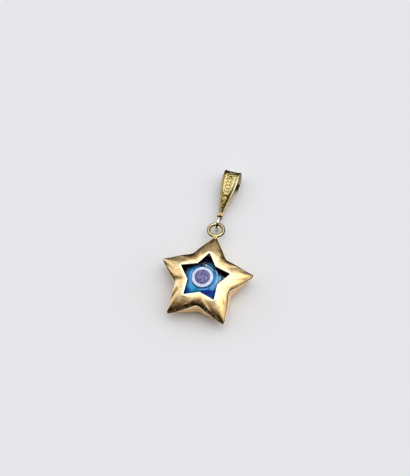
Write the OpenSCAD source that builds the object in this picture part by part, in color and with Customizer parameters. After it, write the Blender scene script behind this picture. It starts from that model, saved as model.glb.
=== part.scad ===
// Star charm with an eye bead, hung on a folded bail, lying on its back.
// Millimetres. +Z points up out of the star's face, +Y from the star to the bail.
// The origin is at the middle of the whole charm, on the surface it lies on.

/* [Star] */
// Radius from the star's centre to its rounded tips
star_tip_r = 8.35; // [7.8:0.05:9]
// Radius from the star's centre to its notches, before they are rounded
star_notch_r = 4.95; // [4.8:0.05:5.4]
// Rounding radius of the tips, seen from the front
star_tip_f = 0.26; // [0.15:0.01:0.4]
// Rounding radius of the notches, seen from the front
star_notch_f = 0.9; // [0.4:0.05:1.2]
// Height of each half of the case above and below its seam
half_h = 2.15; // [1.9:0.05:2.4]
// Thickness of the hollow case's wall
wall = 0.35; // [0.3:0.01:0.4]
// How flat the slopes start beside the window, along the tips (1 is straight, 2 an ellipse)
tip_head = 2.4; // [2:0.1:3]
// How steep the slopes end at the seam, along the tips
tip_foot = 1.6; // [1.4:0.1:2.4]
// How flat the slopes start beside the window, at the notches
notch_head = 1.6; // [1.5:0.1:2.4]
// How steep the slopes end at the seam, at the notches
notch_foot = 6; // [4:0.5:7]
// Extra rounding of the arms half way down their slopes
mid_round = 1.2; // [0.4:0.05:1.2]

/* [Window] */
// Radius of the window's tips
window_tip_r = 4.3; // [4:0.05:4.5]
// Radius of the window's notches
window_notch_r = 2.6; // [2.4:0.05:2.7]
// Width of the bevelled lip around the window
lip = 0.18; // [0.1:0.01:0.25]
// How far the lip's bevel drops
lip_drop = 0.1; // [0.05:0.01:0.2]

/* [Eye bead] */
// Radius of the glass bead
bead_r = 4.25; // [4:0.05:4.3]
// How far the bead sits off the middle, to the left
bead_off = 0.18; // [0:0.02:0.2]
// Radius of the bead's domed faces
dome_r = 6.8; // [6:0.1:8]
// Height of the bead's top above the seam
bead_top = 2.2; // [2.1:0.05:2.25]
// Outer radius of the white of the eye
white_r = 1.78; // [1.5:0.01:2]
// Radius of the pupil
pupil_r = 1.27; // [1:0.01:1.4]
// Depth of the white's seat below the dome
white_depth = 0.5; // [0.3:0.05:0.8]
// Depth of the pupil's seat below the dome
pupil_depth = 0.3; // [0.2:0.05:0.25]
// Gap between neighbouring pieces of glass
glass_gap = 0.03; // [0.02:0.01:0.05]

/* [Loop and link] */
// Radius of the soldered loop, to the middle of its wire
loop_r = 1.2; // [1.1:0.05:1.4]
// Diameter of the soldered loop's wire
loop_wire = 0.5; // [0.4:0.02:0.6]
// How far the loop's free side droops, in degrees
loop_droop = 14; // [0:1:18]
// Radius of the link, to the middle of its wire
link_r = 1.2; // [1.15:0.05:1.3]
// Diameter of the link's wire
link_wire = 0.4; // [0.3:0.02:0.42]
// How far the link leans over sideways, in degrees
link_lean = 5; // [0:1:6]

/* [Bail] */
// Length of the bail from its hole to the top of its fold
bail_l = 8.75; // [8:0.05:9.2]
// Width of the bail at its fold
bail_top_w = 2.72; // [2.4:0.04:3.2]
// Width of the bail at its foot
bail_foot_w = 0.84; // [0.84:0.02:1]
// Outer radius of the fold
fold_r = 1.45; // [1.3:0.05:1.6]
// Thickness of the bail's strap
strap = 0.25; // [0.2:0.01:0.25]
// Radius of the hole through the foot
hole_r = 0.3; // [0.3:0.01:0.31]
// Width of the raised borders
border = 0.24; // [0.15:0.01:0.3]
// Depth of the panel between the borders
panel_depth = 0.07; // [0.04:0.01:0.1]
// How far the bail rolls to its left, in degrees
bail_roll = 1; // [0:0.5:4]
// How far the bail turns to its right, in degrees
bail_turn = 3.3; // [0:0.1:4]
// How far the bail rises from its hole to its fold, in degrees
bail_pitch = 0.2; // [0.2:0.1:4]

/* [Hidden] */
gold = [0.83, 0.66, 0.33];
round_fn = 96;
dome_fn = 360;
small_fn = 48;
wire_fn = 36;
e = 0.02;

// Steps along one half of an arm: tip arc, straight flank and notch arc
tip_steps = 2;
flank_steps = 4;
notch_steps = 3;
half_steps = tip_steps + flank_steps + notch_steps;
ring_n = 10 * half_steps;
// Rings from the window to the seam, on the outside and on the inside
outer_rings = 8;
inner_rings = 6;

// Places of the pieces, with the star's centre on the seam as the middle
loop_x = -0.3;
loop_y = star_tip_r + 1.15;
loop_z = -loop_r * sin(loop_droop);
link_y = loop_y + 1.22;
link_z = 1.46 - half_h;
hole_x = loop_x;
hole_y = link_y + link_r - 0.02;
hole_z = link_z;

// Half angles of the star's outline at its tips and notches
function tip_half(tip_r, notch_r) =
    atan2(notch_r * sin(36), tip_r - notch_r * cos(36));
function notch_half(tip_r, notch_r) = 36 + tip_half(tip_r, notch_r);

// Radii of an outline whose flanks lie d outside those of a star
function grow_tip(tip_r, notch_r, d) = tip_r + d / sin(tip_half(tip_r, notch_r));
function grow_notch(tip_r, notch_r, d) = notch_r + d / sin(notch_half(tip_r, notch_r));

function mix(a, b, t) = a + (b - a) * t;

// Half an arm, from the middle of its tip on the X axis to the middle of its notch
function half_arm(tip_r, notch_r, tip_f, notch_f) =
    let (
        tip_a = tip_half(tip_r, notch_r),
        tip_c = [tip_r - tip_f / sin(tip_a), 0],
        notch_d = grow_notch(tip_r, notch_r, notch_f),
        notch_c = notch_d * [cos(36), sin(36)],
        tip = [for (i = [0 : tip_steps])
            let (a = (90 - tip_a) * i / tip_steps) tip_c + tip_f * [cos(a), sin(a)]],
        notch = [for (i = [0 : notch_steps])
            let (a = mix(270 - tip_a, 216, i / notch_steps)) notch_c + notch_f * [cos(a), sin(a)]],
        flank = [for (i = [1 : flank_steps - 1])
            mix(tip[tip_steps], notch[0], i / flank_steps)]
    )
    concat(tip, flank, notch);

// Mirror a point of the first half arm about the middle of its notch
function far_half(p) = [p.x * cos(72) + p.y * sin(72), p.x * sin(72) - p.y * cos(72)];
function turned(p, a) = [p.x * cos(a) - p.y * sin(a), p.x * sin(a) + p.y * cos(a)];

// Whole star outline, with one tip on the +Y axis
function star_ring(tip_r, notch_r, tip_f, notch_f) =
    let (half = half_arm(tip_r, notch_r, tip_f, notch_f))
    [for (k = [0 : 4], i = [0 : 2 * half_steps - 1])
        turned(i <= half_steps ? half[i] : far_half(half[2 * half_steps - i]), 90 + 72 * k)];

// Where a point lies between the middle of a tip (0) and of a notch (1)
function along_arm(i) =
    let (s = i % (2 * half_steps), j = s <= half_steps ? s : 2 * half_steps - s)
    j <= tip_steps ? 0
    : j <= tip_steps + flank_steps ? mix(0, 0.85, (j - tip_steps) / flank_steps)
    : mix(0.85, 1, (j - tip_steps - flank_steps) / notch_steps);

// Share of the notch's roundness there, rising smoothly from the tip
function notch_share(i) = pow(sin(90 * along_arm(i)), 2);

// Height of the case's slope: h at the window (t = 0), 0 at the seam (t = 1)
function slope_z(h, t, w) =
    h * pow(max(0, 1 - pow(t, mix(tip_head, notch_head, w))), 1 / mix(tip_foot, notch_foot, w));

// One ring of a slope between a window outline and a seam outline
function slope_ring(win, seam, h, t) =
    let (
        bulge = mid_round * 4 * t * (1 - t),
        r = [for (i = [0 : 3]) mix(win[i], seam[i], t)],
        xy = star_ring(r[0], r[1], r[2] + bulge, r[3] + bulge / 4)
    )
    [for (i = [0 : ring_n - 1]) [xy[i].x, xy[i].y, slope_z(h, t, notch_share(i))]];

function flipped(ring) = [for (p = ring) [p.x, p.y, -p.z]];

// Outlines: tip radius, notch radius, tip rounding, notch rounding
opening = [window_tip_r, window_notch_r, 0.05, 0.25];
rim = [grow_tip(window_tip_r, window_notch_r, lip),
    grow_notch(window_tip_r, window_notch_r, lip), 0.05, 0.25];
seam = [star_tip_r, star_notch_r, star_tip_f, star_notch_f];
seam_in = [grow_tip(star_tip_r, star_notch_r, -wall),
    grow_notch(star_tip_r, star_notch_r, -wall), 0.1, star_notch_f];
lip_r = star_ring(opening[0], opening[1], opening[2], opening[3]);

inner_slope = [for (i = [0 : inner_rings])
    slope_ring(opening, seam_in, half_h - wall, sin(90 * i / inner_rings))];
outer_slope = [for (i = [0 : outer_rings])
    slope_ring(rim, seam, half_h, sin(90 * i / outer_rings))];

// All rings in order: inside from floor to window, lip, outside from window to back
case_rings = concat(
    [for (i = [0 : inner_rings]) flipped(inner_slope[i])],
    [for (i = [inner_rings - 1 : -1 : 0]) inner_slope[i]],
    [[for (p = lip_r) [p.x, p.y, half_h - lip_drop]]],
    outer_slope,
    [for (i = [outer_rings - 1 : -1 : 0]) flipped(outer_slope[i])]
);
last_ring = len(case_rings) - 1;
case_points = concat([for (ring = case_rings, p = ring) p],
    [[0, 0, wall - half_h], [0, 0, -half_h]]);
floor_pole = (last_ring + 1) * ring_n;
back_pole = floor_pole + 1;
case_faces = concat(
    [for (r = [0 : last_ring - 1], i = [0 : ring_n - 1], side = [0, 1])
        let (j = (i + 1) % ring_n, a = r * ring_n + i, b = r * ring_n + j)
        side == 0 ? [a, b + ring_n, a + ring_n] : [a, b, b + ring_n]],
    [for (i = [0 : ring_n - 1]) [(i + 1) % ring_n, i, floor_pole]],
    [for (i = [0 : ring_n - 1])
        [last_ring * ring_n + i, last_ring * ring_n + (i + 1) % ring_n, back_pole]]
);

// Middle of the charm's length: from its lowest tips to the top of the fold
low_y = -(star_tip_r - star_tip_f / sin(tip_half(star_tip_r, star_notch_r))) * cos(36) - star_tip_f;
high_y = hole_y + (bail_l - fold_r) * cos(bail_pitch) * cos(bail_turn) + fold_r
    + bail_top_w / 2 * sin(bail_turn) * cos(bail_roll);
mid_y = (low_y + high_y) / 2;

// Bail's side: straight leaves from the foot, tangent to the round fold
fold_y = bail_l - fold_r;
foot_y = 0.9;
flare_from = 0.3;
flare_to = 6.8;
flare_steps = 12;
leaf_d = fold_y - foot_y;
leaf_a = asin(fold_r / norm([leaf_d, strap])) - atan2(strap, leaf_d);

module placed() {
    translate([0, -mid_y, half_h]) children();
}

// Soldered star case

module star_case() {
    color(gold) placed() {
        polyhedron(points = case_points, faces = case_faces, convexity = 6);
        translate([loop_x, loop_y, loop_z]) rotate([-loop_droop, 0, 0]) wire_ring(loop_r, loop_wire);
        translate([loop_x / 2, star_tip_r - 0.2, 0]) sphere(r = 0.4, $fn = small_fn);
    }
}

module wire_ring(r, wire) {
    rotate_extrude($fn = round_fn) translate([r, 0]) circle(d = wire, $fn = wire_fn);
}

// Glass eye

// Where the bead sits in the case
module seated() {
    translate([-bead_off, 0, 0]) children();
}

// Half of the bead's section under its front dome, out to radius r, from the floor of its seat
module dome_section(r, floor_z) {
    intersection() {
        translate([0, bead_top - dome_r]) circle(r = dome_r, $fn = dome_fn);
        translate([0, floor_z]) square([r, 2 * half_h]);
    }
}

module eye_glass() {
    bottom = wall - half_h + 0.05;
    color([0, 0.35, 0.75]) placed() seated() rotate_extrude($fn = round_fn) difference() {
        intersection() {
            dome_section(bead_r, bottom);
            translate([0, bottom + dome_r]) circle(r = dome_r, $fn = dome_fn);
        }
        translate([0, bead_top - white_depth]) square([white_r, 1]);
    }
}

module eye_white() {
    color([0.85, 0.89, 1]) placed() seated() rotate_extrude($fn = round_fn) difference() {
        dome_section(white_r - glass_gap, bead_top - white_depth + glass_gap);
        translate([0, bead_top - pupil_depth]) square([pupil_r, 1]);
    }
}

module eye_pupil() {
    color([0.42, 0.42, 0.64]) placed() seated() rotate_extrude($fn = round_fn)
        dome_section(pupil_r - glass_gap, bead_top - pupil_depth + glass_gap);
}

// Link between the loop and the bail

module link() {
    color(gold) placed()
        translate([loop_x, link_y, link_z]) rotate([0, 90 + link_lean, 0]) wire_ring(link_r, link_wire);
}

// Bail

// Side of the bail, inset from its outside
module bail_side(inset) {
    r = fold_r - inset;
    tangent = [fold_y - r * sin(leaf_a), r * cos(leaf_a)];
    start_z = strap - inset;
    translate([fold_y, 0]) circle(r = r, $fn = round_fn);
    polygon([[-2, -start_z], [foot_y, -start_z], [tangent.x, -tangent.y],
        tangent, [foot_y, start_z], [-2, start_z]]);
}

// Room between the leaves
module bail_room() {
    r = fold_r - strap;
    tangent = [fold_y - r * sin(leaf_a), r * cos(leaf_a)];
    apex = tangent.x - tangent.y / tan(leaf_a);
    translate([fold_y, 0]) circle(r = r, $fn = round_fn);
    polygon([[apex, 0], [tangent.x, -tangent.y], tangent]);
}

// Half the bail's width: narrow at the foot, flaring in an S-shaped curve up to the fold
function bail_half_w(y) =
    let (t = min(1, max(0, (y - flare_from) / (flare_to - flare_from))))
    mix(bail_foot_w, bail_top_w, t * t * (3 - 2 * t)) / 2;

// Plan of the flared bail, with its sides moved in, from from_y upwards
module bail_plan(inset, from_y) {
    start_y = max(from_y, flare_from);
    ys = concat(from_y < flare_from ? [from_y] : [],
        [for (i = [0 : flare_steps]) mix(start_y, flare_to, i / flare_steps)], [bail_l + 0.5]);
    side = [for (y = ys) [bail_half_w(y) - inset, y]];
    polygon(concat(side, [for (i = [len(side) - 1 : -1 : 0]) [-side[i].x, side[i].y]]));
}

module extruded_side(w) {
    rotate([90, 0, 90]) translate([0, 0, -w / 2]) linear_extrude(w) children();
}

// Ornament on the front leaf: a leafy sprig, its leaves in pairs that grow with the panel
module ornament() {
    first = 3.9;
    last = 6.8;
    translate([-0.06, first]) square([0.12, last - first]);
    for (k = [0 : 4], side = [-1, 1]) {
        size = 0.75 + 0.054 * k;
        translate([side * 0.34 * size, first + 0.62 * k + 0.2]) rotate(-38 * side)
            scale([0.12 * size, 0.32 * size]) circle(r = 1, $fn = 24);
    }
}

module bail() {
    wide = bail_top_w + 1;
    tall = 2 * fold_r + 1;
    color([0.83, 0.7, 0.4]) placed() translate([hole_x, hole_y, hole_z])
        rotate([0, 0, -bail_turn]) rotate([bail_pitch, 0, 0]) rotate([0, -bail_roll, 0]) {
            difference() {
                intersection() {
                    extruded_side(wide) bail_side(0);
                    translate([0, 0, -tall / 2]) linear_extrude(tall) {
                        bail_plan(0, 0);
                        circle(d = bail_foot_w, $fn = small_fn);
                    }
                }
                difference() {
                    translate([0, 0, -tall / 2]) linear_extrude(tall) bail_plan(border, foot_y + 0.4);
                    extruded_side(wide) bail_side(panel_depth);
                }
                extruded_side(wide) bail_room();
                translate([0, 0, -1]) cylinder(r = hole_r, h = 2, $fn = small_fn);
            }
            translate([0, foot_y, strap - panel_depth]) rotate([leaf_a, 0, 0])
                translate([0, -foot_y, -e]) linear_extrude(panel_depth + e) ornament();
        }
}

star_case();
eye_glass();
eye_white();
eye_pupil();
link();
bail();
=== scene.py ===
# A hollow gold star with a glass eye, on its soldered loop, link and folded bail, lying on its back.
import bpy
import bmesh
import numpy as np
from mathutils import Matrix, Vector


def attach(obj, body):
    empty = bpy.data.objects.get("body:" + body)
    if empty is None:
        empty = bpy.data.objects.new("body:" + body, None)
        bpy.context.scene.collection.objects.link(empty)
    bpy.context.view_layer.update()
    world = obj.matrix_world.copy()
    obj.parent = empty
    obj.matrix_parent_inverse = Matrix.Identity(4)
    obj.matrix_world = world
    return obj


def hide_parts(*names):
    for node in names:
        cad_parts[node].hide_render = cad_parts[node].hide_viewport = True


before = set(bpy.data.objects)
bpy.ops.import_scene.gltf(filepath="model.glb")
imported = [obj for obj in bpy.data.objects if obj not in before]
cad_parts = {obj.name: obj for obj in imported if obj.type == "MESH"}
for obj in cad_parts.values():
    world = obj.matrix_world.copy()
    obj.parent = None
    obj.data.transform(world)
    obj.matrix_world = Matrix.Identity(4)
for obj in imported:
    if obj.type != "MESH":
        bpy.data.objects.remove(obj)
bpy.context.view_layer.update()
scene = bpy.context.scene
middle = np.array([0.0, -7.0395, 2.15])  # star's centre on its seam, in millimetres; every place is measured from it
print("frame loaded:", len(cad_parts), "nodes")


# Shared tools: grids of points in millimetres become closed meshes in metres

def cells(rows, cols, start=0, closed=False):
    # Four corners of every cell of a grid; closed joins the last column to the first
    r, c = np.meshgrid(np.arange(rows - 1), np.arange(cols if closed else cols - 1), indexing="ij")
    n = (c + 1) % cols
    return start + np.stack([r * cols + c, r * cols + n, (r + 1) * cols + n, (r + 1) * cols + c], -1).reshape(-1, 4)


def sealed(name, grids, sharp=40):
    # One object from (points, faces, marks): doubles merge, faces turn outwards, creases above an angle stay crisp
    points = np.concatenate([g[0].reshape(-1, 3) for g in grids]) + middle
    starts = np.cumsum([0] + [g[0].size // 3 for g in grids[:-1]])
    faces = np.concatenate([g[1] + s for g, s in zip(grids, starts)])
    mesh = bpy.data.meshes.new(name)
    mesh.from_pydata((points / 1000).tolist(), [], faces.tolist())
    for key in sorted({k for g in grids for k in g[2]}):
        values = np.concatenate([(g[2].get(key, 0) + np.zeros(g[0].shape[:2])).reshape(-1) for g in grids])
        mesh.attributes.new(key, "FLOAT", "POINT").data.foreach_set("value", values.astype(np.float32))
    clean = bmesh.new()
    clean.from_mesh(mesh)
    bmesh.ops.remove_doubles(clean, verts=clean.verts, dist=3e-7)  # metres
    bmesh.ops.recalc_face_normals(clean, faces=clean.faces)
    clean.to_mesh(mesh)
    clean.free()
    mesh.polygons.foreach_set("use_smooth", np.ones(len(mesh.polygons), bool))
    mesh.set_sharp_from_angle(angle=np.radians(sharp))
    piece = bpy.data.objects.new(name, mesh)
    scene.collection.objects.link(piece)
    return piece


def settle(piece, node, material):
    # The piece stands for its CAD node, moves with the charm and wears its finish
    piece.data.materials.append(material)
    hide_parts(node)
    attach(piece, "root")


def outward(points, closed=True):
    # Unit normals of a grid: the cross product of its steps down the rows and along the columns
    down = np.gradient(points, axis=0)
    along = np.roll(points, -1, 1) - np.roll(points, 1, 1) if closed else np.gradient(points, axis=1)
    normal = np.cross(down, along)
    return normal / (np.linalg.norm(normal, axis=-1, keepdims=True) + 1e-12)


def ripples(points, size, seed, waves=14):
    # Between 0 and 1: the mean of sine waves about size millimetres long, in random directions
    rng = np.random.default_rng(seed)
    ways = rng.normal(size=(waves, 3))
    ways *= 2 * np.pi / (size * rng.uniform(0.7, 1.5, (waves, 1)) * np.linalg.norm(ways, axis=1, keepdims=True))
    return 0.5 + 0.5 * np.sin(points @ ways.T + rng.uniform(0, 6.28, waves)).mean(-1) * np.sqrt(waves) / 2.5


def wireOut(u, v, turns):
    # Directions from a ring's centre to its wire: cos a u + sin a v
    a = np.linspace(0, 2 * np.pi, turns, endpoint=False)[:, None, None]
    return np.cos(a) * u + np.sin(a) * v


def roundWire(centre, u, v, radius, wire, turns=160, sides=28):
    # A ring of round wire: centre plus radius times outwards, plus wire (cos b outwards + sin b across)
    b = np.linspace(0, 2 * np.pi, sides, endpoint=False)[None, :, None]
    out = wireOut(u, v, turns)
    thick = wire[:, None, None] if np.ndim(wire) else wire
    return centre + radius * out + thick * (np.cos(b) * out + np.sin(b) * np.cross(u, v))


def sideShade(offset, start=0.97):
    # 1 where the outside of a wire looks sideways or down, fading to 0 where it looks up: painted shade on its sides
    # and underside
    rise = offset[..., 2] / (np.linalg.norm(offset, axis=-1) + 1e-9)
    return np.clip((start - rise) / 0.3, 0, 1)


def ringCells(rows, cols):
    # Cells of a grid closed both ways
    faces = cells(rows + 1, cols, closed=True)
    return faces % (rows * cols)


# Star case

tenth = np.radians(36)  # a tenth of a turn, from the middle of a tip to the middle of a notch

star = {
    "tipR": 8.34, "notchR": 4.95, "tipRound": 0.26, "notchRound": 0.9,  # outline of the seam
    "halfHeight": 2.15, "wall": 0.35, "innerTipRound": 0.1,
    # roundness of the slopes
    "tipPower": (2.4, 1.6), "notchPower": (1.6, 6.0), "midRound": 1.2, "notchSoft": 0.6, "blend": 5,
    "windowTipR": 4.3, "windowNotchR": 2.6, "windowRound": (0.05, 0.25), "lip": 0.18, "lipDrop": 0.1, "lipPolishAndHighlight": 0.7,
    "ridge": 0.08, "ridgeHalf": 0.08,  # half-round ridge where the two halves are soldered
    "nearRidge": (0.16, 0.11, 0.106, 0.095, 0.075, 0.05, 0.025, 0),  # heights of the rings next to it
    # bend between face and wall: its height at tips and notches as a share of the half's, half the width of the dark
    # line on it (painted dark reflection, with dirt in the groove), the line's strength behind, the painted highlight
    # line below it and its width, and where the peach wall starts (painted warm reflection on a satin finish)
    "bend": (0.08, 0.72), "lineHalf": 0.15, "lineBehind": 0.4, "highlightAt": 0.27, "highlightWide": 0.12, "peachFrom": 0.3,
    "aboutWindow": (0.3, 0.4),  # painted highlight: how bright the slope is made next to the window, and how far out
    "dents": 0.003, "dentSize": 1.6, "grain": 0.012, "grainSize": 0.6,
    # painted shade by the way a slope faces: compass angle from +X, share (below 0 a painted highlight instead), how
    # far out it starts, strength of the line on the bend
    "patina": ((0, 0.35, 0.78, 0.7), (34, 0.84, 0.2, 0.9), (74, 1, 0.66, 0.8), (90, 0.84, 0.12, 1),
               (106, 1, 0.22, 1), (146, 0.84, 0.12, 1), (178, -0.8, 0.45, 0.2), (218, 1, 0.0, 1),
               (250, 0.95, 0.27, 1), (290, 0.95, 0.27, 1), (322, 0.25, 0.85, 0.7), (360, 0.35, 0.78, 0.7)),
    "loopR": 1.24, "loopWire": 0.28, "loopDroop": 14, "loopX": -0.3, "loopY": 9.45,
    # lump of solder: radius, bulge, stretch along X and Y, distance inside the tip, and reach of its colour on the tip
    "solderR": 0.39, "solderBulge": 0.05, "solderStretch": (0.95, 1.15), "solderIn": 0.18, "solderReach": 0.95,
}


def grown(tipR, notchR, d):
    # Each radius grows by d over the sine of its corner's half angle, so that the flanks move out by d
    half = np.arctan2(notchR * np.sin(tenth), tipR - notchR * np.cos(tenth))
    return tipR + d / np.sin(half), notchR + d / np.sin(tenth + half)


armSteps = (8, 14, 10)  # columns over a tip's arc, a straight flank and a notch's arc
halfArm = np.concatenate([np.linspace(0, 1, armSteps[0], endpoint=False),
                          np.linspace(1, 2, armSteps[1], endpoint=False),
                          np.linspace(2, 3, armSteps[2] + 1)])
wholeArm = np.concatenate([halfArm, halfArm[-2:0:-1]])
sideways = np.concatenate([np.ones(len(halfArm)), -np.ones(len(halfArm) - 2)])
aroundArm = np.tile(wholeArm, 5)  # 0 middle of a tip, 1 to 2 flank, 3 middle of a notch


def starPoints(tipR, notchR, tipRound, notchRound):
    # Half an arm is a tip arc, a straight flank and a notch arc; it is mirrored about its tip and turned five times
    tipR, notchR, tipRound, notchRound = [
        v[:, :len(wholeArm)] for v in np.broadcast_arrays(tipR, notchR, tipRound, notchRound)]
    half = np.arctan2(notchR * np.sin(tenth), tipR - notchR * np.cos(tenth))
    tipMid = tipR - tipRound / np.sin(half)
    notchMid = notchR + notchRound / np.sin(tenth + half)

    def tipArc(share):
        a = share * (np.pi / 2 - half)
        return np.stack([tipMid + tipRound * np.cos(a), tipRound * np.sin(a)], -1)

    def notchArc(share):
        a = (1 - share) * (1.5 * np.pi - half) + share * np.radians(216)
        return np.stack([notchMid * np.cos(tenth) + notchRound * np.cos(a),
                         notchMid * np.sin(tenth) + notchRound * np.sin(a)], -1)

    step = wholeArm[None, :]
    flank = np.clip(step - 1, 0, 1)[..., None]
    xy = tipArc(np.clip(step, 0, 1)) * (step < 1)[..., None]
    xy = xy + ((1 - flank) * tipArc(1) + flank * notchArc(0)) * ((step >= 1) & (step < 2))[..., None]
    xy = xy + notchArc(np.clip(step - 2, 0, 1)) * (step >= 2)[..., None]
    # far side of the arm, first mirrored about the X axis and then taken with the next arm
    xy[..., 1] *= sideways
    arms = []
    for k in range(5):
        turn = np.radians(90 + 72 * k + 72 * (sideways < 0))
        arms.append(np.stack([xy[..., 0] * np.cos(turn) - xy[..., 1] * np.sin(turn),
                              xy[..., 0] * np.sin(turn) + xy[..., 1] * np.cos(turn)], -1))
    return np.concatenate(arms, 1)


def armWeight(step):
    # 0 over a tip, rising as a squared sine along the flank to 1 in the middle of a notch
    return np.sin(np.pi / 2 * np.interp(step, [0, 1, 2, 3], [0, 0, 0.85, 1])) ** 2


def starSlope(window, seam, height, rise, ridge=0):
    # Outlines from window to seam: z/h = rise, t = (1 - rise^foot)^(1/head), with both powers mixed from tip to notch;
    # the slope ends a ridge's width short of the seam, and the ridge stands out from it as half an ellipse
    t = np.clip(1 - rise ** slopeFoot, 0, 1) ** (1 / slopeHead)
    bulge = star["midRound"] * 4 * t * (1 - t)
    mixed = [a + (b - a) * t for a, b in zip(window, seam)]
    if ridge:
        proud = np.sqrt(np.clip(1 - (rise * height / star["ridgeHalf"]) ** 2, 0, 1))
        mixed[0], mixed[1] = grown(mixed[0], mixed[1], -ridge * t * (1 - proud))
    soft = star["notchSoft"] * 16 * t ** 4 * (1 - t)  # the notches are roundest near the bend
    xy = starPoints(mixed[0], mixed[1], mixed[2] + bulge, mixed[3] + bulge / 4 + soft)
    # half way down, each point moves to the bell-weighted mean of its neighbours along the outline
    near = np.arange(-12, 13)
    bell = np.exp(-(near / star["blend"]) ** 2 / 2)
    mean = sum(w * np.roll(xy, k, 1) for w, k in zip(bell / bell.sum(), near))
    xy = xy + (np.clip(4 * t * (1 - t), 0, 1) + 0 * xy[..., 0])[..., None] * (mean - xy)
    return np.concatenate([xy, (rise * height)[..., None]], -1)


slopeHead, slopeFoot = [
    (a + (b - a) * armWeight(aroundArm))[None, :] for a, b in zip(star["tipPower"], star["notchPower"])]


def slopeRises(rings, nearSeam):
    # Heights of the rings: sin(angle)^(2/foot) down to 8.4 degrees, then evenly down to the values near the seam
    angle = np.radians(np.linspace(90, 8.4, rings))[:, None]
    upper = np.sin(angle) ** (2 / slopeFoot)
    between = upper[-1:] + (nearSeam[0] - upper[-1:]) * np.linspace(0, 1, 7)[1:-1, None]
    return np.concatenate([upper, between, np.array(nearSeam)[:, None] + 0 * slopeFoot])


def slopeShare(slope):
    # Share of the way out from the first ring to the last, along each column
    run = np.linalg.norm(slope[..., :2] - slope[:1, :, :2], axis=-1)
    return run / run[-1:]


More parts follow.
